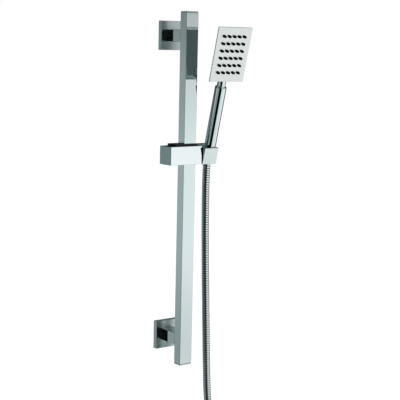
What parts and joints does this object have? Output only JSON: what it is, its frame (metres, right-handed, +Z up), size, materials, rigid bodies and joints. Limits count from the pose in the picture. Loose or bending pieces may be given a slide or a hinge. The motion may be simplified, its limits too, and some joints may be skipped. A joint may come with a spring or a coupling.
{
  "type": "slide rail hand shower set",
  "caption": "Square-section wall slide rail with a sliding, tilting holder, a stick hand shower with a flat rectangular spray head, and its flexible metal hose.",
  "frame": {"origin": "middle of the upper bracket, on the wall", "axes": "+X to the right along the wall, +Y into the wall, +Z up along the rail"},
  "size_m": [0.1831, 0.1395, 0.983],
  "materials": {
    "rail_chrome": "polished",
    "bracket_chrome": "polished",
    "slider_chrome": "polished",
    "holder_chrome": "polished",
    "handle_chrome": "polished",
    "head_chrome": "satin",
    "hose_metal": "polished",
    "black_plastic": "matte",
    "white_plastic": "matte",
    "black_rubber": "matte",
    "steel": "satin",
    "zinc": "matte",
    "brass": "satin"
  },
  "bodies": {
    "rail": {"rail_tube": "rail_chrome", "rail_top_cap": "rail_chrome", "rail_bottom_cap": "rail_chrome", "upper_flange": "bracket_chrome", "upper_wall_base": "zinc", "upper_arm": "bracket_chrome", "upper_grub_screw": "steel", "upper_arm_bolt": "steel", "upper_nut_plate": "steel", "lower_flange": "bracket_chrome", "lower_wall_base": "zinc", "lower_arm": "bracket_chrome", "lower_grub_screw": "steel", "lower_arm_bolt": "steel", "lower_nut_plate": "steel"},
    "slider": {"slider_cover": "slider_chrome", "slider_core": "black_plastic", "slider_upper_glide": "black_plastic", "slider_lower_glide": "black_plastic", "brake_pad": "black_plastic", "brake_spring": "steel", "brake_set_screw": "steel"},
    "holder": {"holder_body": "holder_chrome", "holder_liner": "black_plastic", "pivot_pin": "steel", "pivot_clip": "steel", "friction_washer": "black_plastic", "upper_ferrule": "hose_metal"},
    "handset": {"handle_tube": "handle_chrome", "neck_tube": "handle_chrome", "water_tube": "white_plastic", "inlet_fitting": "brass", "check_valve": "white_plastic", "strainer_disc": "black_rubber", "cone_nut": "handle_chrome", "hose_gasket": "black_rubber", "face_plate": "head_chrome", "nozzle_mat": "black_rubber", "head_back": "head_chrome", "face_screw_left_low": "steel", "face_screw_left_high": "steel", "face_screw_right_low": "steel", "face_screw_right_high": "steel"},
    "hose": {"hose_tube": "hose_metal", "hose_coil": "hose_metal", "coil_tie_left": "black_plastic", "coil_tie_right": "black_plastic", "wall_ferrule": "hose_metal", "wall_gasket": "black_rubber"},
    "wall_nut": {"wall_nut": "hose_metal"}
  },
  "joints": [
    {"name": "slider_height", "type": "slide", "parent": "rail", "child": "slider", "axis": [0, 0, 1], "range_m": [-0.314, 0.178]},
    {"name": "holder_tilt", "type": "hinge", "parent": "slider", "child": "holder", "pos_m": [0, -0.059, -0.214], "axis": [1, 0, 0], "range_deg": [-8, 50]},
    {"name": "handset_turn", "type": "hinge", "parent": "holder", "child": "handset", "pos_m": [0.044, -0.06577, -0.21576], "axis": [0, -0.2521, 0.9677], "range_deg": [-90, 90]},
    {"name": "hose_hang", "type": "hinge", "parent": "holder", "child": "hose", "pos_m": [0.044, -0.06136, -0.2327], "axis": [1, 0, 0], "range_deg": [-50, 8]},
    {"name": "wall_nut_turn", "type": "hinge", "parent": "hose", "child": "wall_nut", "pos_m": [0.0958, -0.117, -0.78403], "axis": [-0.7071, 0, 0.7071], "range_deg": [-180, 180]}
  ],
  "couplings": [
    {"joint": "hose_hang", "follows": "holder_tilt", "ratio": -1}
  ]
}
